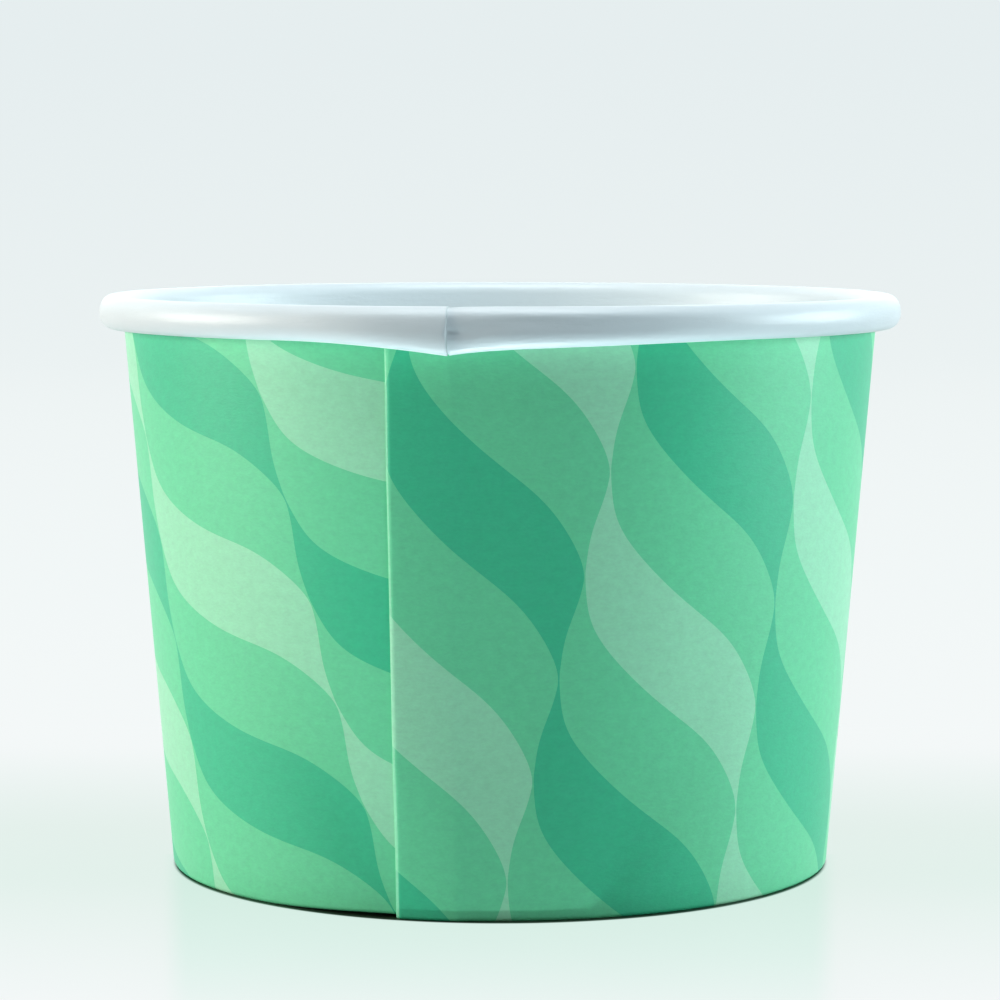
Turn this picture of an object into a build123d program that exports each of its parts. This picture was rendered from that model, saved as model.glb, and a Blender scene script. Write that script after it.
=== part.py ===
from build123d import *
from math import atan, cos, degrees, radians, sin
import os

os.makedirs("parts", exist_ok=True)

# Driving dimensions in millimetres. The cup stands on z = 0, centred on the z axis.
cup_height = 53.5
rim_diameter = 75.0
foot_diameter = 61.95
sheet_thickness = 0.35

# Rolled rim. The roll stands off the wall by roll_gap, and its raw edge is tucked inside.
roll_width = 2.52
roll_height = 3.07
roll_gap = 0.15
roll_tuck = 0.5

# Bottom hem, folded in and up around the skirt of the disc
fold_radius = 0.05
hem_height = 5.0

# Bottom disc. Its skirt hangs between the wall and the hem, skirt_clearance off each.
disc_thickness = 0.3
floor_height = 6.3
floor_bend = 0.8
skirt_foot = 0.85
skirt_clearance = 0.005

# Glued lap of the sheet. Angles run in degrees from the front towards the right.
outer_edge_angle = -16.5
inner_edge_angle = -6.9
lap_droop = 1.1

# Where the foot starts to lift, the rim starts to droop and bulge, and each comes back to its plain form
lift_start_angle = -45.0
droop_start_angle = -31.0
step_end_angle = 5.1
droop_end_angle = 38.0

# The droop right of the lap falls quickly at first, then slowly
slow_share = 0.48
quick_share = 0.5
quick_power = 9

# Sections that the sheet is lofted through, evenly spaced
left_count = 13
lap_count = 5
right_count = 19

# Derived values. The wall runs from the foot to the inside of the roll.
rim_radius = rim_diameter / 2
foot_radius = foot_diameter / 2
wall_flare = rim_radius - roll_width + sheet_thickness - foot_radius
slope = wall_flare / (cup_height - roll_width / 2)
wall_angle = degrees(atan(slope))
lean = cos(radians(wall_angle))
rise = sin(radians(wall_angle))
inner_foot_radius = foot_radius - sheet_thickness / lean
roll_foot = cup_height - roll_height
plain_arc = 360 + lift_start_angle - droop_end_angle


def radial_plane(angle):
    """Upright plane through the axis of the cup, at an angle from the front."""
    turn = radians(angle)
    return Plane(origin=(0, 0, 0), x_dir=(sin(turn), -cos(turn), 0), z_dir=(-cos(turn), -sin(turn), 0))


def beside(centre, radius, angle):
    """Point on a circle around a centre."""
    return (centre[0] + radius * cos(radians(angle)), centre[1] + radius * sin(radians(angle)))


def along(point, distance):
    """Point moved up along the slant of the wall."""
    return (point[0] + distance * rise, point[1] + distance * lean)


def spread(first, last, count):
    """Evenly spaced angles from the first to the last."""
    return [first + (last - first) * number / (count - 1) for number in range(count)]


def share_between(angle, first, last):
    """How far an angle lies on the way from the first to the last, from 0 to 1."""
    return min(max((angle - first) / (last - first), 0), 1)


def ease(share):
    """Smooth rise from 0 to 1, level at both ends."""
    return share * share * (3 - 2 * share)


def droop_left(angle):
    """Droop of the rim up to the inner edge of the lap."""
    return lap_droop * share_between(angle, droop_start_angle, inner_edge_angle) ** 2


def droop_right(angle):
    """Droop of the rim past the inner edge of the lap."""
    share = share_between(angle, droop_end_angle, inner_edge_angle)
    return lap_droop * (slow_share * ease(share) + quick_share * share**quick_power)


def sheet_lines(layers, lift, droop, bulge, step, packing):
    """Outline of the sheet as two parallel curves and their raw edges, from the hem to the roll.

    Lift raises the fold, droop lowers the underside of the roll, bulge pushes the roll outwards, step
    sets the wall and the hem off the disc, and packing makes room in the roll for the second layer.
    """
    board = layers * sheet_thickness
    wall_foot = inner_foot_radius + step / lean
    hem_foot = inner_foot_radius - (disc_thickness + step) / lean
    outermost = rim_radius + bulge
    roll_low = roll_foot - droop

    top_radius = (outermost - wall_foot - cup_height * slope) / (1 + lean - (1 - rise) * slope)
    low_room = (outermost - wall_foot - roll_low * slope) * lean - board - packing - roll_gap
    low_radius = low_room / (1 + lean + rise)

    corner_height = lift + board + fold_radius
    corner_reach = fold_radius / lean
    hem_corner = (hem_foot + corner_height * slope + corner_reach, corner_height)
    wall_corner = (wall_foot + corner_height * slope - corner_reach, corner_height)
    roll_top = (outermost - top_radius, cup_height - top_radius)
    roll_base = (outermost - low_radius, roll_low + low_radius)

    facing = 180 - wall_angle
    hem_rise = (hem_height - corner_height) / lean
    ends = []
    for offset in (0, board):
        fold = fold_radius + offset
        top = top_radius - offset
        low = low_radius - offset
        hem_end = along(beside(hem_corner, fold, facing), hem_rise)
        tuck_end = along(beside(roll_base, low, facing), roll_tuck)
        Line(hem_end, beside(hem_corner, fold, facing))
        CenterArc(hem_corner, fold, facing, 90 + wall_angle)
        Line(beside(hem_corner, fold, 270), beside(wall_corner, fold, 270))
        CenterArc(wall_corner, fold, 270, 90 - wall_angle)
        Line(beside(wall_corner, fold, -wall_angle), beside(roll_top, top, facing))
        CenterArc(roll_top, top, facing, -facing)
        Line(beside(roll_top, top, 0), beside(roll_base, low, 0))
        CenterArc(roll_base, low, 0, -(180 + wall_angle))
        Line(beside(roll_base, low, facing), tuck_end)
        ends.append((hem_end, tuck_end))
    Line(ends[0][0], ends[1][0])
    Line(ends[0][1], ends[1][1])


# Side wall: one sheet with its rolled rim, glued lap and bottom hem
with BuildPart() as side_wall:
    # One layer left of the lap, lifted where the other layer passes under it
    for angle in spread(lift_start_angle, outer_edge_angle, left_count):
        bulge = sheet_thickness * ease(share_between(angle, droop_start_angle, outer_edge_angle))
        lift = sheet_thickness * ease(share_between(angle, lift_start_angle, outer_edge_angle))
        with BuildSketch(radial_plane(angle)):
            with BuildLine():
                sheet_lines(1, lift, droop_left(angle), bulge, step=0, packing=bulge)
            make_face()
    loft()

    # Two layers in the lap
    for angle in spread(outer_edge_angle, inner_edge_angle, lap_count):
        with BuildSketch(radial_plane(angle)):
            with BuildLine():
                sheet_lines(2, 0, droop_left(angle), sheet_thickness, step=0, packing=0)
            make_face()
    loft()

    # One layer right of the lap, coming down over the inner edge
    for angle in spread(inner_edge_angle, droop_end_angle, right_count):
        step = sheet_thickness * share_between(angle, step_end_angle, inner_edge_angle) ** 3
        with BuildSketch(radial_plane(angle)):
            with BuildLine():
                sheet_lines(1, 0, droop_right(angle), 0, step, packing=0)
            make_face()
    loft()

    # The plain part of the sheet, from the right of the lap round the back to its left
    with BuildSketch(radial_plane(droop_end_angle)):
        with BuildLine():
            sheet_lines(1, 0, 0, 0, step=0, packing=0)
        make_face()
    revolve(axis=Axis.Z, revolution_arc=plain_arc)

side_wall.part.label = "side_wall"
export_step(side_wall.part, "parts/side_wall.step")

# Bottom disc: flat panel and down-turned skirt
bend_height = floor_height - floor_bend
bend_reach = (floor_bend + skirt_clearance) / lean
bend_centre = (inner_foot_radius + bend_height * slope - bend_reach, bend_height)
bend_inside = floor_bend - disc_thickness + 2 * skirt_clearance
skirt_drop = (bend_height - skirt_foot) / lean
skirt_outside = beside(bend_centre, floor_bend, -wall_angle)
skirt_inside = beside(bend_centre, bend_inside, -wall_angle)
panel_top = beside(bend_centre, floor_bend, 90)
panel_under = beside(bend_centre, bend_inside, 90)

with BuildPart() as bottom_disc:
    with BuildSketch(radial_plane(0)):
        with BuildLine():
            Line((0, panel_under[1]), (0, panel_top[1]))
            Line((0, panel_top[1]), panel_top)
            CenterArc(bend_centre, floor_bend, 90, -(90 + wall_angle))
            Line(skirt_outside, along(skirt_outside, -skirt_drop))
            Line(along(skirt_outside, -skirt_drop), along(skirt_inside, -skirt_drop))
            Line(along(skirt_inside, -skirt_drop), skirt_inside)
            CenterArc(bend_centre, bend_inside, 90, -(90 + wall_angle))
            Line(panel_under, (0, panel_under[1]))
        make_face()
    revolve(axis=Axis.Z)

bottom_disc.part.label = "bottom_disc"
export_step(bottom_disc.part, "parts/bottom_disc.step")
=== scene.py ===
from math import atan, cos, degrees, pi, radians, sin

import bpy
import numpy as np
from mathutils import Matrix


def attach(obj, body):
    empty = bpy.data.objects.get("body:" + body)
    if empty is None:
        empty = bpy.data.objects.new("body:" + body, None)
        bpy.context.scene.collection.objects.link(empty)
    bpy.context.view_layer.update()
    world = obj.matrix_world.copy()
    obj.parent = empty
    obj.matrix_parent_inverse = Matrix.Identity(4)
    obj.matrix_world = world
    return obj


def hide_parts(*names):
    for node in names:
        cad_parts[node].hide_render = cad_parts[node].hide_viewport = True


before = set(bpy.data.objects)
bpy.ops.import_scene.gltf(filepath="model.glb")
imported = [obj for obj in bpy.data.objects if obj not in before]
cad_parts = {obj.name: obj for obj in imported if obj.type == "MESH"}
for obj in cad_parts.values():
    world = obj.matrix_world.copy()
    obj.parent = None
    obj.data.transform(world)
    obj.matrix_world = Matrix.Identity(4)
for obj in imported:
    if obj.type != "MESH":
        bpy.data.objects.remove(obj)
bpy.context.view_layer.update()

# Sizes of the cup in millimetres, as in its CAD model
MM = 0.001
CUP_HEIGHT = 53.5
RIM_RADIUS = 37.5
FOOT_RADIUS = 30.975
BOARD = 0.35
ROLL_WIDTH = 2.52
ROLL_HEIGHT = 3.07
ROLL_GAP = 0.15
ROLL_TUCK = 0.5
FOLD_RADIUS = 0.05
HEM_HEIGHT = 5.0
DISC_THICKNESS = 0.3

# The glued lap, in degrees from the front towards the right
OUTER_EDGE = -16.5
INNER_EDGE = -6.9
LAP_DROOP = 1.1
LIFT_START = -45.0
DROOP_START = -31.0
DROOP_POWER = 2
STEP_END = 5.1
STEP_POWER = 3
DROOP_END = 38.0
SLOW_SHARE = 0.48
QUICK_SHARE = 0.5
QUICK_POWER = 9

# The outer layer's roll sinks to the height of the plain roll towards the inner edge
SINK_START = -11.0
SINK_END = -2.0
SINK_SHARE = 0.3
SINK_POWER = 2

# The double board of the lap doesn't bend with the wall, so it stands as a low ridge with a dip beside it
RIDGE = 0.35
RIDGE_START = -48.0
RIDGE_POWER = 3
DIP = -0.2
DIP_END = 16.0

# Heights between which the ridge rises out of the hem and sinks towards the roll
RIDGE_LOW = (6.5, 16.0)
RIDGE_HIGH = (38.0, 49.0)

# Creases of the roll and, with less than nothing as their depth, its swells: middle in degrees and in
# height, half widths in degrees and in height, depth
CREASES = (
    (-6.3, 51.25, 2.4, 0.30, 0.20),
    (-2.5, 51.75, 3.5, 0.35, 0.08),
    (4.0, 52.25, 4.0, 0.30, 0.06),
    (9.0, 51.9, 5.0, 0.35, 0.06),
    (17.0, 52.1, 5.0, 0.40, 0.05),
    (-12.0, 51.7, 3.5, 0.40, 0.03),
    (-24.0, 52.0, 6.0, 0.50, 0.03),
    (10.0, 52.85, 22.0, 0.42, -0.08),
    (10.0, 50.9, 20.0, 0.45, -0.05),
    (-20.0, 52.85, 14.0, 0.42, -0.08),
)

# The cut edge of the outer layer is pressed thinner: width in degrees, depth in millimetres
PRESSED_WIDTH = 0.75
PRESSED_DEPTH = 0.17
PRESSED_POWER = 1.5

# The outer edge is cut a little askew and bowed: degrees at the foot and at the rim
EDGE_SKEW = (-0.33, 0.38)

SLOPE = (RIM_RADIUS - ROLL_WIDTH + BOARD - FOOT_RADIUS) / (CUP_HEIGHT - ROLL_WIDTH / 2)
WALL_ANGLE = degrees(atan(SLOPE))
LEAN = cos(radians(WALL_ANGLE))
RISE = sin(radians(WALL_ANGLE))
INNER_FOOT = FOOT_RADIUS - BOARD / LEAN
ROLL_FOOT = CUP_HEIGHT - ROLL_HEIGHT


def share_between(angle, first, last):
    """How far an angle lies on the way from the first to the last, from 0 to 1."""
    return min(max((angle - first) / (last - first), 0.0), 1.0)


def ease(share):
    """Smooth rise from 0 to 1, level at both ends."""
    return share * share * (3 - 2 * share)


def plain_angle(turn):
    """Angle from the front, for an angle along the sheet, which goes once round from its outer edge."""
    return turn if turn < 180 else turn - 360


# The sheet's section, which runs from the hem through both folds, up the wall and round the roll

# Points of the hem, of each fold, of the wall and of each half of the roll, and the wall's first point
HEM_POINTS = 3
FOLD_POINTS = 6
WALL_POINTS = 22
ROLL_POINTS = 30
TUCK_POINTS = 3
WALL_FIRST = HEM_POINTS + 2 * FOLD_POINTS

# Room for rounding when points are compared, in millimetres
SLACK = 0.001


def arc(centre, radius, start, sweep, count):
    """Points on an arc in the plane of a section."""
    turns = np.radians(start + sweep * np.linspace(0, 1, count))
    return np.column_stack((centre[0] + radius * np.cos(turns), centre[1] + radius * np.sin(turns)))


def slant_line(start, length, count):
    """Points up along the slant of the wall."""
    steps = np.linspace(0, length, count)
    return np.column_stack((start[0] + steps * RISE, start[1] + steps * LEAN))


def straight(first, last, count):
    """Points on a line between two points, ends left out."""
    shares = np.linspace(0, 1, count + 2)[1:-1, None]
    return np.asarray(first) * (1 - shares) + np.asarray(last) * shares


def stretch_flank(points, end, middle):
    """Stretch the outer half of an arc of the roll, so that the flank bends all the way to its middle."""
    outermost = points[np.argmax(points[:, 0])]
    span = abs(outermost[1] - end)
    outer = outermost[0] - points[:, 0] <= span + SLACK
    points[outer, 1] = end + (points[outer, 1] - end) * abs(middle - end) / span


def sheet_curves(lift, droop, bulge, step, packing, sink):
    """Inner and printed curve of one layer of the sheet, from the top of the hem to the tuck.

    Lift raises the fold, droop lowers the underside of the roll, bulge pushes the roll outwards, step
    sets the wall and the hem off the disc, packing makes room in the roll for the other layer, and sink
    lowers the top of the roll.
    """
    wall_foot = INNER_FOOT + step / LEAN
    hem_foot = INNER_FOOT - (DISC_THICKNESS + step) / LEAN
    outermost = RIM_RADIUS + bulge
    roll_low = ROLL_FOOT - droop
    top = CUP_HEIGHT - sink

    top_radius = (outermost - wall_foot - top * SLOPE) / (1 + LEAN - (1 - RISE) * SLOPE)
    low_room = (outermost - wall_foot - roll_low * SLOPE) * LEAN - BOARD - packing - ROLL_GAP
    low_radius = low_room / (1 + LEAN + RISE)

    corner_height = lift + BOARD + FOLD_RADIUS
    corner_reach = FOLD_RADIUS / LEAN
    hem_corner = (hem_foot + corner_height * SLOPE + corner_reach, corner_height)
    wall_corner = (wall_foot + corner_height * SLOPE - corner_reach, corner_height)
    roll_top = (outermost - top_radius, top - top_radius)
    roll_base = (outermost - low_radius, roll_low + low_radius)
    middle = (roll_top[1] + roll_base[1]) / 2

    facing = 180 - WALL_ANGLE
    hem_rise = (HEM_HEIGHT - corner_height) / LEAN
    curves = []
    for offset in (0, BOARD):
        fold = FOLD_RADIUS + offset
        hem_fold = arc(hem_corner, fold, facing, 90 + WALL_ANGLE, FOLD_POINTS)
        wall_fold = arc(wall_corner, fold, 270, 90 - WALL_ANGLE, FOLD_POINTS)
        over = arc(roll_top, top_radius - offset, facing, -facing, ROLL_POINTS)
        under = arc(roll_base, low_radius - offset, 0, -(180 + WALL_ANGLE), ROLL_POINTS)
        stretch_flank(over, top - offset, middle)
        stretch_flank(under, roll_low + offset, middle)
        curves.append(np.vstack((
            slant_line(hem_fold[0], hem_rise, HEM_POINTS + 1)[:0:-1],
            hem_fold,
            wall_fold,
            straight(wall_fold[-1], over[0], WALL_POINTS),
            over,
            under[1:],
            slant_line(under[-1], ROLL_TUCK, TUCK_POINTS)[1:],
        )))
    return curves


def droop_at(angle):
    """How far the underside of the roll hangs down."""
    if angle <= INNER_EDGE:
        return LAP_DROOP * share_between(angle, DROOP_START, INNER_EDGE) ** DROOP_POWER
    share = share_between(angle, DROOP_END, INNER_EDGE)
    return LAP_DROOP * (SLOW_SHARE * ease(share) + QUICK_SHARE * share**QUICK_POWER)


def layer_at(turn):
    """Curves of the sheet at an angle along it, from its outer edge once round to its inner edge."""
    angle = plain_angle(turn)
    if turn < INNER_EDGE:
        sunk = 1 - ease(share_between(turn, SINK_START, INNER_EDGE)) * (1 - SINK_SHARE)
        return sheet_curves(0, droop_at(angle) - BOARD, 0, BOARD, 0, BOARD * sunk)
    if turn < 180:
        step = BOARD * share_between(angle, STEP_END, INNER_EDGE) ** STEP_POWER
        sink = BOARD * SINK_SHARE * share_between(angle, SINK_END, INNER_EDGE) ** SINK_POWER
        return sheet_curves(0, droop_at(angle), 0, step, 0, sink)
    lift = BOARD * ease(share_between(angle, LIFT_START, OUTER_EDGE))
    bulge = BOARD * ease(share_between(angle, DROOP_START, OUTER_EDGE))
    return sheet_curves(lift, droop_at(angle), bulge, 0, bulge, 0)


def crease_at(turn, height):
    """Depth of the creases that the rolling leaves in the flank of the roll."""
    angle = plain_angle(turn)
    depth = 0
    for centre, level, reach, rise, amount in CREASES:
        same_side = (angle >= INNER_EDGE) == (centre >= INNER_EDGE)
        if same_side:
            depth += amount * np.exp(-(((angle - centre) / reach) ** 2) - ((height - level) / rise) ** 2)
    return depth


def ridge_at(turn):
    """How far the wall stands off the plain cone because of the lap."""
    angle = plain_angle(turn)
    if INNER_EDGE <= turn < 180:
        return DIP * (1 - ease(share_between(turn, INNER_EDGE, DIP_END)))
    if angle < OUTER_EDGE:
        return RIDGE * share_between(angle, RIDGE_START, OUTER_EDGE) ** RIDGE_POWER
    return RIDGE + (DIP - RIDGE) * share_between(angle, OUTER_EDGE, INNER_EDGE)


def ridge_share(height):
    """The ridge fades out towards the hem and the roll, which are formed round."""
    return ease(share_between(height, *RIDGE_LOW)) * (1 - ease(share_between(height, *RIDGE_HIGH)))


def pressed_at(turn):
    """How far the outer edge of the lap is pressed down into the layer below it."""
    share = share_between(turn, OUTER_EDGE, OUTER_EDGE + PRESSED_WIDTH)
    return PRESSED_DEPTH * (1 - share) ** PRESSED_POWER


def skew_at(turn, height):
    """Turn of the outer edge of the lap, in degrees, at a height."""
    share = height / CUP_HEIGHT
    skew = EDGE_SKEW[0] + (EDGE_SKEW[1] - EDGE_SKEW[0]) * share * (2 - share)
    return skew * (1 - share_between(turn, OUTER_EDGE, INNER_EDGE))


# The print runs on the flat blank, so its coordinates are those of the developed cone. Slants are the
# blank's radii at the foot and under the roll. The other lengths are millimetres of the print itself.
SPREAD = 1.01296
BLANK_ANGLE = 29.96
FIRST_SLANT = 372.197
LAST_SLANT = 422.808
CONE_TOP = 50.436
SEAM_ANGLE = -16.3
PRINT_LEFT = -87.791
PRINT_TOP = 401.276
PRINT_MIDDLE = 398.0
PRINT_TILT = 0.00665
COLUMN_WIDTH = 20.408
ROW_HEIGHT = 9.117


def print_place(turn, height):
    """Columns across and rows down the print, for places on the wall."""
    swing = radians((turn - SEAM_ANGLE) / 360 * BLANK_ANGLE - BLANK_ANGLE / 2) * SPREAD
    slant = (FIRST_SLANT + height / CONE_TOP * (LAST_SLANT - FIRST_SLANT)) / SPREAD
    across = slant * sin(swing) - PRINT_LEFT
    up = slant * cos(swing) - PRINT_MIDDLE / SPREAD + PRINT_MIDDLE
    column = (across * cos(PRINT_TILT) - (up - PRINT_MIDDLE) * sin(PRINT_TILT)) / COLUMN_WIDTH
    row = -((up - PRINT_TOP) * cos(PRINT_TILT) + across * sin(PRINT_TILT)) / ROW_HEIGHT
    return column, row


# Steps along the sheet in degrees: finer steps run from FINE_FROM on over the lap up to FINE_TO
PLAIN_STEP = 1.0
FINE_STEP = 0.35
FINE_TO = 12
FINE_FROM = 328
PRESSED_STEPS = 5

# Numbers of the sheet's materials
PRINTED, COATED, RAW = range(3)


def sheet_turns():
    """Angles along the sheet, closer together near the lap."""
    parts = [
        OUTER_EDGE + PRESSED_WIDTH * np.linspace(0, 1, PRESSED_STEPS + 1)[:-1],
        np.arange(OUTER_EDGE + PRESSED_WIDTH, FINE_TO, FINE_STEP),
        np.arange(FINE_TO, FINE_FROM, PLAIN_STEP),
        np.arange(FINE_FROM, 360 + INNER_EDGE, FINE_STEP),
        [360 + INNER_EDGE],
    ]
    return np.concatenate(parts)


def section_at(turn):
    """Points of the sheet at an angle along it, with their places on the print and on the sheet's skin."""
    inner, printed = layer_at(turn)
    section = np.vstack((inner, printed[::-1]))
    radii, heights = section[:, 0], section[:, 1]
    on_wall = radii < RIM_RADIUS - ROLL_WIDTH + 2 * BOARD
    on_flank = np.clip((radii - RIM_RADIUS + ROLL_WIDTH / 2) / BOARD, 0, 1)
    outside = np.arange(len(section)) >= len(inner)

    ridge = np.array([ridge_share(height) for height in heights]) * on_wall * ridge_at(turn)
    pressed = on_wall * outside * pressed_at(turn)
    reach = radii + ridge - pressed - on_flank * crease_at(turn, heights)
    spins = np.radians(turn + skew_at(turn, heights))
    points = np.column_stack((reach * np.sin(spins), -reach * np.cos(spins), heights))

    lengths = np.cumsum(np.r_[0, np.hypot(*np.diff(printed, axis=0).T)])
    unrolled = (lengths - lengths[WALL_FIRST]) * LEAN + printed[WALL_FIRST, 1]
    both = np.r_[unrolled, unrolled[::-1]]
    along = radians(turn - OUTER_EDGE) * (RIM_RADIUS + FOOT_RADIUS) / 2
    skin = np.column_stack((np.full(len(both), along), both))
    return points, np.column_stack(print_place(turn, both)), skin


def sheet_faces(sections, count):
    """Faces between neighbouring sections and over both cut ends, with the material of each."""
    half = count // 2
    faces = []
    kinds = []
    for number in range(sections - 1):
        base = number * count
        for point in range(count):
            beyond = (point + 1) % count
            faces.append((base + point, base + beyond, base + count + beyond, base + count + point))
            at_edge = point in (half - 1, count - 1)
            kinds.append(RAW if at_edge else COATED if point < half else PRINTED)
    for base, flip in ((0, True), ((sections - 1) * count, False)):
        for point in range(half - 1):
            quad = (base + point, base + point + 1, base + count - 2 - point, base + count - 1 - point)
            faces.append(quad[::-1] if flip else quad)
            kinds.append(RAW)
    return faces, kinds


def build_sheet():
    """The rolled sheet as one mesh: printed side, coated side and raw edges."""
    points, places, skins = zip(*[section_at(turn) for turn in sheet_turns()])
    faces, kinds = sheet_faces(len(points), len(points[0]))
    mesh = bpy.data.meshes.new("side_wall_sheet")
    mesh.from_pydata((np.vstack(points) * MM).tolist(), [], faces)
    mesh.polygons.foreach_set("material_index", kinds)
    mesh.polygons.foreach_set("use_smooth", [kind != RAW for kind in kinds])
    loops = np.empty(len(mesh.loops), dtype=int)
    mesh.loops.foreach_get("vertex_index", loops)
    for name, values in (("print", places), ("skin", skins)):
        layer = mesh.uv_layers.new(name=name)
        layer.data.foreach_set("uv", np.vstack(values)[loops].ravel())
    mesh.update()
    sheet = bpy.data.objects.new("side_wall_sheet", mesh)
    bpy.context.scene.collection.objects.link(sheet)
    return sheet


# Materials

class Nodes:
    """Small helper that adds and links the shader nodes of a material or a world."""

    def __init__(self, owner):
        owner.use_nodes = True
        self.owner = owner
        self.tree = owner.node_tree
        self.shader = self.tree.nodes.get("Principled BSDF")

    def node(self, kind, **settings):
        made = self.tree.nodes.new(kind)
        for name, value in settings.items():
            setattr(made, name, value)
        return made

    def feed(self, socket, value):
        """Put a number, a colour or another node's output into a socket."""
        if isinstance(value, (int, float)):
            socket.default_value = value
        elif isinstance(value, tuple):
            socket.default_value = (*value, 1) if len(socket.default_value) == 4 else value
        else:
            self.tree.links.new(value, socket)

    def set_shader(self, **inputs):
        """Feed the inputs of the Principled shader, named with _ for each space."""
        for name, value in inputs.items():
            self.feed(self.shader.inputs[name.replace("_", " ")], value)

    def math(self, operation, first, second=None):
        made = self.node("ShaderNodeMath", operation=operation)
        self.feed(made.inputs[0], first)
        if second is not None:
            self.feed(made.inputs[1], second)
        return made.outputs[0]

    def vector_math(self, operation, first, second=None):
        made = self.node("ShaderNodeVectorMath", operation=operation)
        self.feed(made.inputs[0], first)
        if second is not None:
            self.feed(made.inputs["Scale" if operation == "SCALE" else 1], second)
        return made.outputs["Value" if operation == "LENGTH" else "Vector"]

    def grain(self, scale, detail, roughness, stretch=None):
        """Noise over the piece or, with a stretch along the sheet and up it, over the sheet's skin."""
        made = self.node("ShaderNodeTexNoise")
        self.feed(made.inputs["Scale"], scale)
        self.feed(made.inputs["Detail"], detail)
        self.feed(made.inputs["Roughness"], roughness)
        place = self.stretched(*stretch) if stretch else self.object_place()
        self.feed(made.inputs["Vector"], place)
        return made.outputs["Fac"]

    def ramp(self, value, first, last, low=0, high=1, smooth=True):
        """Value that goes from low to high while another goes from the first to the last."""
        kind = "SMOOTHSTEP" if smooth else "LINEAR"
        made = self.node("ShaderNodeMapRange", interpolation_type=kind)
        self.feed(made.inputs["Value"], value)
        for name, number in (("From Min", first), ("From Max", last), ("To Min", low), ("To Max", high)):
            made.inputs[name].default_value = number
        return made.outputs["Result"]

    def split(self, vector):
        """The parts of a vector."""
        made = self.node("ShaderNodeSeparateXYZ")
        self.feed(made.inputs[0], vector)
        return made.outputs[0], made.outputs[1], made.outputs[2]

    def object_place(self):
        """Place in the piece's own frame, in metres."""
        return self.node("ShaderNodeTexCoord").outputs["Object"]

    def flat_place(self, name):
        """Place on one of the sheet's two maps: print or skin, in millimetres along it and up it."""
        return self.node("ShaderNodeUVMap", uv_map=name).outputs["UV"]

    def stretched(self, along, up):
        """Skin coordinates scaled along the sheet and up it, for grain that runs round the cup."""
        return self.vector_math("MULTIPLY", self.flat_place("skin"), (along, up, 1))

    def mix(self, factor, first, second, blend="MIX"):
        made = self.node("ShaderNodeMix", data_type="RGBA", blend_type=blend)
        self.feed(made.inputs["Factor"], factor)
        self.feed(made.inputs[6], first)
        self.feed(made.inputs[7], second)
        return made.outputs[2]

    def bump(self, height, distance, strength, normal=None):
        made = self.node("ShaderNodeBump")
        self.feed(made.inputs["Distance"], distance)
        self.feed(made.inputs["Strength"], strength)
        self.feed(made.inputs["Height"], height)
        if normal is not None:
            self.feed(made.inputs["Normal"], normal)
        return made.outputs["Normal"]

    def seen(self):
        """1 where the camera looks, also by way of a shiny or clear surface, and 0 for other light."""
        rays = self.node("ShaderNodeLightPath").outputs
        indirect = self.math("MAXIMUM", rays["Is Glossy Ray"], rays["Is Transmission Ray"])
        return self.math("MAXIMUM", rays["Is Camera Ray"], indirect)

    def show(self, factor, first, second, output):
        """Show a blend of two shaders."""
        made = self.node("ShaderNodeMixShader")
        self.feed(made.inputs["Fac"], factor)
        self.feed(made.inputs[1], first)
        self.feed(made.inputs[2], second)
        self.feed(self.tree.nodes[output].inputs["Surface"], made.outputs[0])


PRINT_DARK = (0.047, 0.603, 0.311)
PRINT_MID = (0.164, 0.768, 0.395)
PRINT_LIGHT = (0.384, 0.885, 0.553)
PRINT_ROUGHNESS = 0.42
PRINT_SPECULAR = 0.4

# The columns of leaves meet in wavy lines, and each column stands a little lower than the last: the
# wave's swing in millimetres and its start in radians, and the step in rows
WAVE = 0.176
WAVE_TURN = -0.39
STEP_ROWS = -0.0684
LEAF_ROWS = 2 + STEP_ROWS

# The leaves of a column go through four places: light, mid, dark and mid again
LEAF_CYCLE = 4
DARK_LEAF = 2

# A leaf's curve is an arc cosine across its column, filled out a little in the belly and at its start
BELLY = (0.008, 0.0136, -0.0095)
START_REACH = 0.05
START_LEAD = 0.0775

# Painted highlight: a pale strip along the outer edge of the lap, where the edge catches the side light:
# width, softness and raggedness of its edge in millimetres, and strength
EDGE_HIGHLIGHT_MINT = (0.42, 0.90, 0.60)
STRIP_AT_RIM = 0.14
STRIP_AT_FOOT = 0.32
STRIP_SOFTNESS = 0.12
STRIP_JITTER = -0.12
STRIP_SHARE = 0.55

# Unevenness of the ink, as shares of its colour, and the tints that it drifts between
MOTTLE_DEPTH = 0.24
SPECKLE_DEPTH = 0.16
GREEN_DRIFT = (0.0, 0.012, 0.0)
ROSE_DRIFT = (0.012, 0.0, 0.022)

# Grains in the skin: scale per millimetre, detail, roughness, and stretch along the sheet and up it
STRIP_GRAIN = (1.4, 3, 0.5, (1, 0.6))
MOTTLE_GRAIN = (1.2, 4, 0.62, (0.8, 1.15))
SPECKLE_GRAIN = (4.2, 3, 0.6, (0.6, 1.2))
DRIFT_GRAIN = (0.9, 2, 0.5, (0.8, 1))

# How high the fibres stand, in metres, and how strongly they show, here and for the other boards
PRINT_FIBRE = (0.00003, 0.5)


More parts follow.
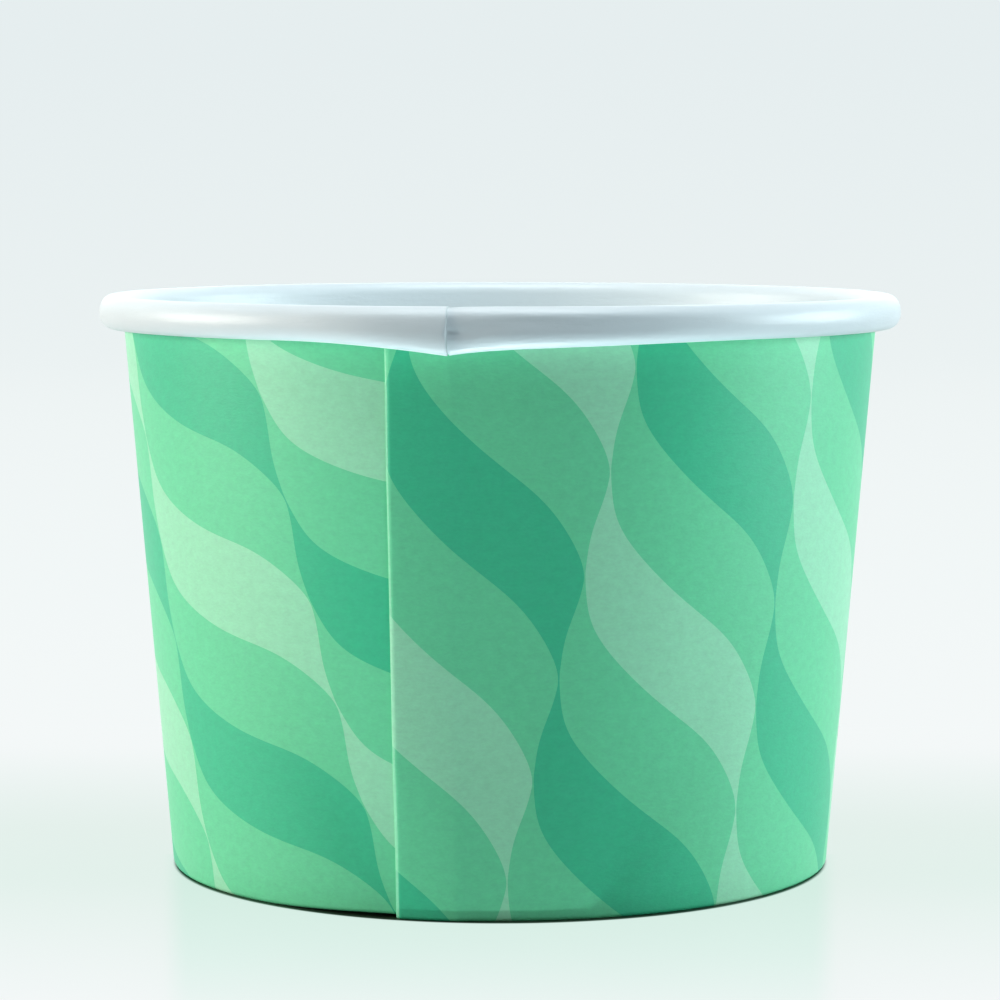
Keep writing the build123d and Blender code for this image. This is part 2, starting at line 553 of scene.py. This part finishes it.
def leaf_number(m):
    """Which of the four places in its column's cycle a leaf has."""
    across, down, _ = m.split(m.flat_place("print"))
    nearest = m.math("ROUND", across)
    phase = m.math("SUBTRACT", down, m.math("MULTIPLY", nearest, STEP_ROWS))
    swing = m.math("COSINE", m.math("ADD", m.math("MULTIPLY", phase, 2 * pi), WAVE_TURN))
    shifted = m.math("SUBTRACT", across, m.math("MULTIPLY", swing, WAVE / COLUMN_WIDTH))
    column = m.math("FLOOR", shifted)
    share = m.math("SUBTRACT", shifted, column)

    turned = m.math("ARCCOSINE", m.math("SUBTRACT", 1, m.math("MULTIPLY", share, 2)))
    curve = m.math("MULTIPLY", turned, 1 / pi)
    for number, amount in enumerate(BELLY, 1):
        belly = m.math("SINE", m.math("MULTIPLY", share, number * pi))
        curve = m.math("ADD", curve, m.math("MULTIPLY", belly, amount))
    lead = m.math("EXPONENT", m.math("MULTIPLY", share, -1 / START_REACH))
    curve = m.math("SUBTRACT", curve, m.math("MULTIPLY", lead, START_LEAD))
    fall = m.math("MULTIPLY", curve, LEAF_ROWS)
    row = m.math("SUBTRACT", down, m.math("MULTIPLY", column, STEP_ROWS))
    level = m.math("FLOOR", m.math("SUBTRACT", row, fall))
    return m.math("FLOORED_MODULO", m.math("ADD", level, column), LEAF_CYCLE)


def painted_edge_highlight(m):
    """Strength of the painted highlight along the outer edge of the lap, a pale strip where the edge
    catches the side light.
    """
    along, up, _ = m.split(m.flat_place("skin"))
    width = m.ramp(up, 0, CUP_HEIGHT, STRIP_AT_FOOT, STRIP_AT_RIM, smooth=False)
    jitter = m.math("MULTIPLY", m.grain(*STRIP_GRAIN), STRIP_JITTER)
    inside = m.math("SUBTRACT", width, m.math("ADD", along, jitter))
    return m.ramp(inside, 0, STRIP_SOFTNESS, high=STRIP_SHARE)


def print_material():
    """Three tints of mint in upright columns of curved leaves, over fibrous board."""
    m = Nodes(bpy.data.materials.new("printed_board"))
    leaf = leaf_number(m)
    is_light = m.math("LESS_THAN", leaf, 0.5)
    is_dark = m.math("LESS_THAN", m.math("ABSOLUTE", m.math("SUBTRACT", leaf, DARK_LEAF)), 0.5)
    colour = m.mix(is_dark, PRINT_MID, PRINT_DARK)
    colour = m.mix(is_light, colour, PRINT_LIGHT)
    # Painted highlight: the pale strip where the lap's outer edge catches the side light
    colour = m.mix(painted_edge_highlight(m), colour, EDGE_HIGHLIGHT_MINT)

    speckle = m.grain(*SPECKLE_GRAIN)
    blotches = m.math("MULTIPLY", m.math("SUBTRACT", m.grain(*MOTTLE_GRAIN), 0.5), MOTTLE_DEPTH)
    specks = m.math("MULTIPLY", m.math("SUBTRACT", speckle, 0.5), SPECKLE_DEPTH)
    tone = m.math("ADD", m.math("ADD", blotches, 1), specks)
    drift = m.mix(m.grain(*DRIFT_GRAIN), GREEN_DRIFT, ROSE_DRIFT)
    m.set_shader(
        Base_Color=m.vector_math("ADD", m.vector_math("SCALE", colour, tone), drift),
        Normal=m.bump(speckle, *PRINT_FIBRE),
        Roughness=PRINT_ROUGHNESS,
        Specular_IOR_Level=PRINT_SPECULAR,
    )
    return m.owner


COAT_INSIDE = (0.85, 0.89, 0.90)
COAT_ROLL = (0.835, 0.885, 0.91)
COAT_ROUGHNESS = 0.34
COAT_SPECULAR = 0.5
BLACK = (0, 0, 0)

# Faint shade and fine tooth of the coat, with their scales per metre, and wrinkles where it is rolled
SHADE_DEPTH = 0.05
SHADE_GRAIN = (220, 2, 0.5)
TOOTH_GRAIN = (1800, 4, 0.6)
WRINKLE_GRAIN = (0.7, 4, 0.6, (0.5, 2.5))
COAT_TOOTH = (0.00005, 0.3)
COAT_WRINKLES = (0.0001, 0.5)


def coated_material(name, rolled):
    """White coated board with a soft sheen, a little greyer and bluer over the roll."""
    m = Nodes(bpy.data.materials.new(name))
    shade = m.math("MULTIPLY", m.grain(*SHADE_GRAIN), SHADE_DEPTH)
    colour = m.mix(shade, COAT_INSIDE, BLACK)
    surface = m.bump(m.grain(*TOOTH_GRAIN), *COAT_TOOTH)
    if rolled:
        up = m.split(m.flat_place("skin"))[1]
        on_roll = m.ramp(up, CUP_HEIGHT - 2 * ROLL_WIDTH, CUP_HEIGHT - ROLL_WIDTH / 2)
        colour = m.mix(on_roll, colour, m.mix(shade, COAT_ROLL, BLACK))
        surface = m.bump(m.grain(*WRINKLE_GRAIN), *COAT_WRINKLES, surface)
    m.set_shader(
        Base_Color=colour,
        Normal=surface,
        Roughness=COAT_ROUGHNESS,
        Specular_IOR_Level=COAT_SPECULAR,
    )
    return m.owner


# Tints of the fibre in the cut edges: stained by the print near the outer edge, then white
STAINED_FIBRE = ((0.20, 0.62, 0.38), (0.32, 0.74, 0.48))
WHITE_FIBRE = ((0.62, 0.68, 0.68), (0.80, 0.84, 0.84))
STAINED_LENGTH = FOOT_RADIUS
RAW_ROUGHNESS = 0.8
RAW_GRAIN = (4200, 3, 0.6)
RAW_FIBRE = (0.00008, 0.5)


def raw_material():
    """Cut edges of the board."""
    m = Nodes(bpy.data.materials.new("raw_edge"))
    fibre = m.grain(*RAW_GRAIN)
    along = m.split(m.flat_place("skin"))[0]
    is_white = m.math("GREATER_THAN", along, STAINED_LENGTH)
    m.set_shader(
        Base_Color=m.mix(is_white, m.mix(fibre, *STAINED_FIBRE), m.mix(fibre, *WHITE_FIBRE)),
        Normal=m.bump(fibre, *RAW_FIBRE),
        Roughness=RAW_ROUGHNESS,
    )
    return m.owner


printed = print_material()
coated = coated_material("white_board", rolled=True)
flat_coated = coated_material("white_disc", rolled=False)
raw = raw_material()

sheet = build_sheet()
for material in (printed, coated, raw):
    sheet.data.materials.append(material)
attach(sheet, "root")
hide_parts("side_wall")

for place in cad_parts["bottom_disc"].material_slots:
    place.material = flat_coated


# Stage: white floor running up into a backdrop. Lengths are in metres here, unless they are said not to be.

FLOOR_COLOUR = (0.29, 0.34, 0.37)
FLOOR_ROUGHNESS = 0.35

# The camera sees a blend of the lit floor, which holds the shadow, and a glow. The glow's share is
# NEAR_LIFT by the cup and goes up to 1 by two ramps: one in depth behind it, and one all around it.
NEAR_LIFT = 0.92
LIFT_BEHIND = (0.02, 0.08)
LIFT_AROUND = (0.12, 0.25)

# Tones of the glow by their depth, as shares of BACKDROP_REACH: in front of the cup, beside it, just
# behind it, on the table and far behind. The darker, greener tones beside the cup are a painted shadow
# band: the soft shadow of the side lamps across the floor, with a painted green tint of light thrown back
# from the wall
FRONT_REACH = 0.06
BACKDROP_REACH = 1.45
NEAR_GLOW = (0.925, 0.96, 0.955)
MIDDLE_GLOWS = (
    # Painted shadow band: the two darker, greener tones beside the cup
    (0.033, (0.79, 0.90, 0.85)),
    (0.052, (0.80, 0.895, 0.85)),
    (0.085, (0.905, 0.94, 0.94)),
    (0.20, (0.885, 0.93, 0.93)),
    (0.53, (0.855, 0.905, 0.905)),
)
FAR_GLOW = (0.79, 0.855, 0.865)

# Painted contact shadow: a dark line painted on the floor where the foot meets it, with its shift towards
# the front and its softness in millimetres
PAINTED_FOOT_SHADOW = (0.03, 0.05, 0.03)
CONTACT_SHIFT = 0.85
CLEAR_OF_FOOT = 0.45

# Painted reflection: a faint green tint painted on the floor before the cup in place of a mirror image of
# its wall:
# edge in millimetres off the foot's radius, narrowing towards the front, and the depths between which it
# comes in, in foot radii
PAINTED_REFLECTION_TINT = (0.88, 0.985, 0.94)
PAINTED_REFLECTION_EDGE = (1.5, -1)
PAINTED_REFLECTION_TAPER = -0.095
PAINTED_REFLECTION_FADE = (-2.8, -1.2)


def glow_tones(m, y, z):
    """Tones of the glow along the floor and up the backdrop, with a painted shadow band beside the cup."""
    tones = m.node("ShaderNodeValToRGB")
    elements = tones.color_ramp.elements
    elements[0].position, elements[0].color = 0, (*NEAR_GLOW, 1)
    elements[1].position, elements[1].color = 1, (*FAR_GLOW, 1)
    for spot, tone in MIDDLE_GLOWS:
        elements.new(spot).color = (*tone, 1)
    depth = m.math("ADD", m.math("ADD", y, z), FRONT_REACH)
    m.feed(tones.inputs["Fac"], m.math("DIVIDE", depth, BACKDROP_REACH))
    return tones.outputs["Color"]


def painted_reflection_share(m, x, y):
    """Strength of the painted reflection of the cup on the floor, which lies in front of the cup only."""
    edge = [(FOOT_RADIUS + offset) * MM for offset in PAINTED_REFLECTION_EDGE]
    fade = [radii * FOOT_RADIUS * MM for radii in PAINTED_REFLECTION_FADE]
    aside = m.math("ADD", m.math("ABSOLUTE", x), m.math("MULTIPLY", y, PAINTED_REFLECTION_TAPER))
    within = m.math("MULTIPLY", m.ramp(aside, *edge), m.math("LESS_THAN", y, 0))
    return m.math("MULTIPLY", within, m.ramp(y, *fade))


def stage_material():
    """White paper that the camera sees a little lifted near the cup and evenly pale away from it, with a
    painted contact shadow at the foot, a painted shadow band beside the cup and a painted reflection of the
    cup in front of it.
    """
    m = Nodes(bpy.data.materials.new("backdrop"))
    where = m.object_place()
    x, y, z = m.split(where)

    around = m.vector_math("LENGTH", m.vector_math("ADD", where, (0, CONTACT_SHIFT * MM, 0)))
    foot_edge = FOOT_RADIUS - BOARD
    # Painted contact shadow: dark floor colour round the foot, shifted towards the front, where the glow is
    # also held off
    past_foot_shadow = m.ramp(around, foot_edge * MM, (foot_edge + CLEAR_OF_FOOT) * MM)
    m.set_shader(Base_Color=m.mix(past_foot_shadow, PAINTED_FOOT_SHADOW, FLOOR_COLOUR), Roughness=FLOOR_ROUGHNESS)

    glow = m.node("ShaderNodeEmission")
    # Painted reflection: the glow is tinted green before the cup
    tones = m.mix(painted_reflection_share(m, x, y), glow_tones(m, y, z), PAINTED_REFLECTION_TINT, blend="MULTIPLY")
    m.feed(glow.inputs["Color"], tones)

    behind = m.ramp(y, *LIFT_BEHIND, low=NEAR_LIFT)
    beyond = m.ramp(around, *LIFT_AROUND, low=NEAR_LIFT)
    lift = m.math("MULTIPLY", m.math("MAXIMUM", behind, beyond), past_foot_shadow)
    lifted = m.math("MULTIPLY", m.seen(), lift)
    m.show(lifted, m.shader.outputs[0], glow.outputs[0], "Material Output")
    return m.owner


def build_stage():
    """Floor, bend and upright back in one sheet."""
    half_width = 1.6
    front = -1.2
    bend = 0.9
    bend_radius = 0.6
    bend_steps = 24
    height = 1.6
    turns = [radians(number * 90 / bend_steps) for number in range(bend_steps + 1)]
    profile = [(front, 0)]
    profile += [(bend + bend_radius * sin(turn), bend_radius * (1 - cos(turn))) for turn in turns]
    profile.append((bend + bend_radius, height))
    vertices = [(side * half_width, y, z) for y, z in profile for side in (-1, 1)]
    faces = [(2 * n, 2 * n + 1, 2 * n + 3, 2 * n + 2) for n in range(len(profile) - 1)]
    mesh = bpy.data.meshes.new("backdrop")
    mesh.from_pydata(vertices, [], faces)
    for polygon in mesh.polygons:
        polygon.use_smooth = True
    backdrop = bpy.data.objects.new("backdrop", mesh)
    bpy.context.scene.collection.objects.link(backdrop)
    backdrop.data.materials.append(stage_material())


build_stage()


# Light: broad soft panels at both sides, above and behind, and small ones close to the cup, for the light
# that a white table and the cup's own white inside throw back. The camera sees none of them.

WARM = (1.0, 0.96, 0.87)
ICE = (0.78, 0.93, 0.96)
COOL = (0.90, 0.97, 1.0)
AQUA = (0.78, 0.97, 1.0)
BLUE = (0.74, 0.93, 1.0)

# Every way that a flat lamp can shine, in degrees
ALL_WAYS = 180


def area_lamp(name, size, energy, tint, spread=ALL_WAYS):
    """Rectangular lamp that the camera doesn't see."""
    data = bpy.data.lights.new(name, "AREA")
    data.shape = "RECTANGLE"
    data.size, data.size_y = size
    data.energy = energy
    data.spread = radians(spread)
    data.color = tint
    lamp = bpy.data.objects.new(name, data)
    bpy.context.scene.collection.objects.link(lamp)
    lamp.visible_camera = False
    return lamp


def panel(name, azimuth, elevation, distance, size, level, tint):
    """Soft panel aimed at the cup. Level 1 shows a facing colour about as it is written."""
    lamp = area_lamp(name, size, level * (pi * distance) ** 2, tint)
    turn, rise = radians(azimuth), radians(elevation)
    across = distance * cos(rise)
    lamp.location = (across * sin(turn), -across * cos(turn), distance * sin(rise))
    lamp.rotation_euler = (radians(90 - elevation), 0, turn)


def close_panel(name, place, tilt, size, level, tint, spread=ALL_WAYS):
    """Soft light close to the cup, turned up from looking straight down."""
    lamp = area_lamp(name, size, level * pi * size[0] * size[1], tint, spread)
    lamp.location = place
    lamp.rotation_euler = (radians(tilt), 0, 0)


panel("left_panel", -86, 8, 0.7, (0.5, 0.4), 1.08, WARM)
panel("right_panel", 94, 8, 0.7, (0.5, 0.4), 1.13, ICE)
panel("back_panel", 180, 22, 0.9, (0.8, 0.5), 0.16, COOL)
panel("top_panel", 180, 87, 0.9, (0.5, 0.5), 0.50, COOL)
panel("front_panel", 0, 72, 0.8, (0.7, 0.25), 0.30, BLUE)
close_panel("under_rim", (0, -0.047, 0.001), 180, (0.11, 0.034), 0.90, AQUA, spread=38)
close_panel("foot_fill", (0, -0.047, 0.001), 180, (0.07, 0.018), 0.85, AQUA)
close_panel("inside_fill", (0, -0.018, 0.042), 88, (0.02, 0.01), 2.8, AQUA, spread=120)

WORLD_LEVEL = 0.03


def build_world():
    """Dim blue world, which looks pale beyond the stage but doesn't light the cup with that."""
    world = bpy.data.worlds.new("studio")
    bpy.context.scene.world = world
    w = Nodes(world)
    dim = w.tree.nodes["Background"]
    w.feed(dim.inputs["Color"], BLUE)
    w.feed(dim.inputs["Strength"], WORLD_LEVEL)
    pale = w.node("ShaderNodeBackground")
    w.feed(pale.inputs["Color"], FAR_GLOW)
    w.show(w.seen(), dim.outputs[0], pale.outputs[0], "World Output")


build_world()


# Camera, fitted to the photograph: metres, degrees below level, and pixels of the photograph

CAMERA_DISTANCE = 0.3336
CAMERA_HEIGHT = 0.06391
CAMERA_DIP = 5.132
CAMERA_NEAR = 0.01
FOCAL_PIXELS = 3541
PHOTO_PIXELS = 1000
SENSOR = 36.0

camera_data = bpy.data.cameras.new("camera")
camera_data.sensor_fit = "HORIZONTAL"
camera_data.sensor_width = SENSOR
camera_data.lens = SENSOR * FOCAL_PIXELS / PHOTO_PIXELS
camera_data.clip_start = CAMERA_NEAR
camera = bpy.data.objects.new("camera", camera_data)
bpy.context.scene.collection.objects.link(camera)
camera.location = (0, -CAMERA_DISTANCE, CAMERA_HEIGHT)
camera.rotation_euler = (radians(90 - CAMERA_DIP), 0, 0)
bpy.context.scene.camera = camera

bpy.context.scene.view_settings.view_transform = "Standard"
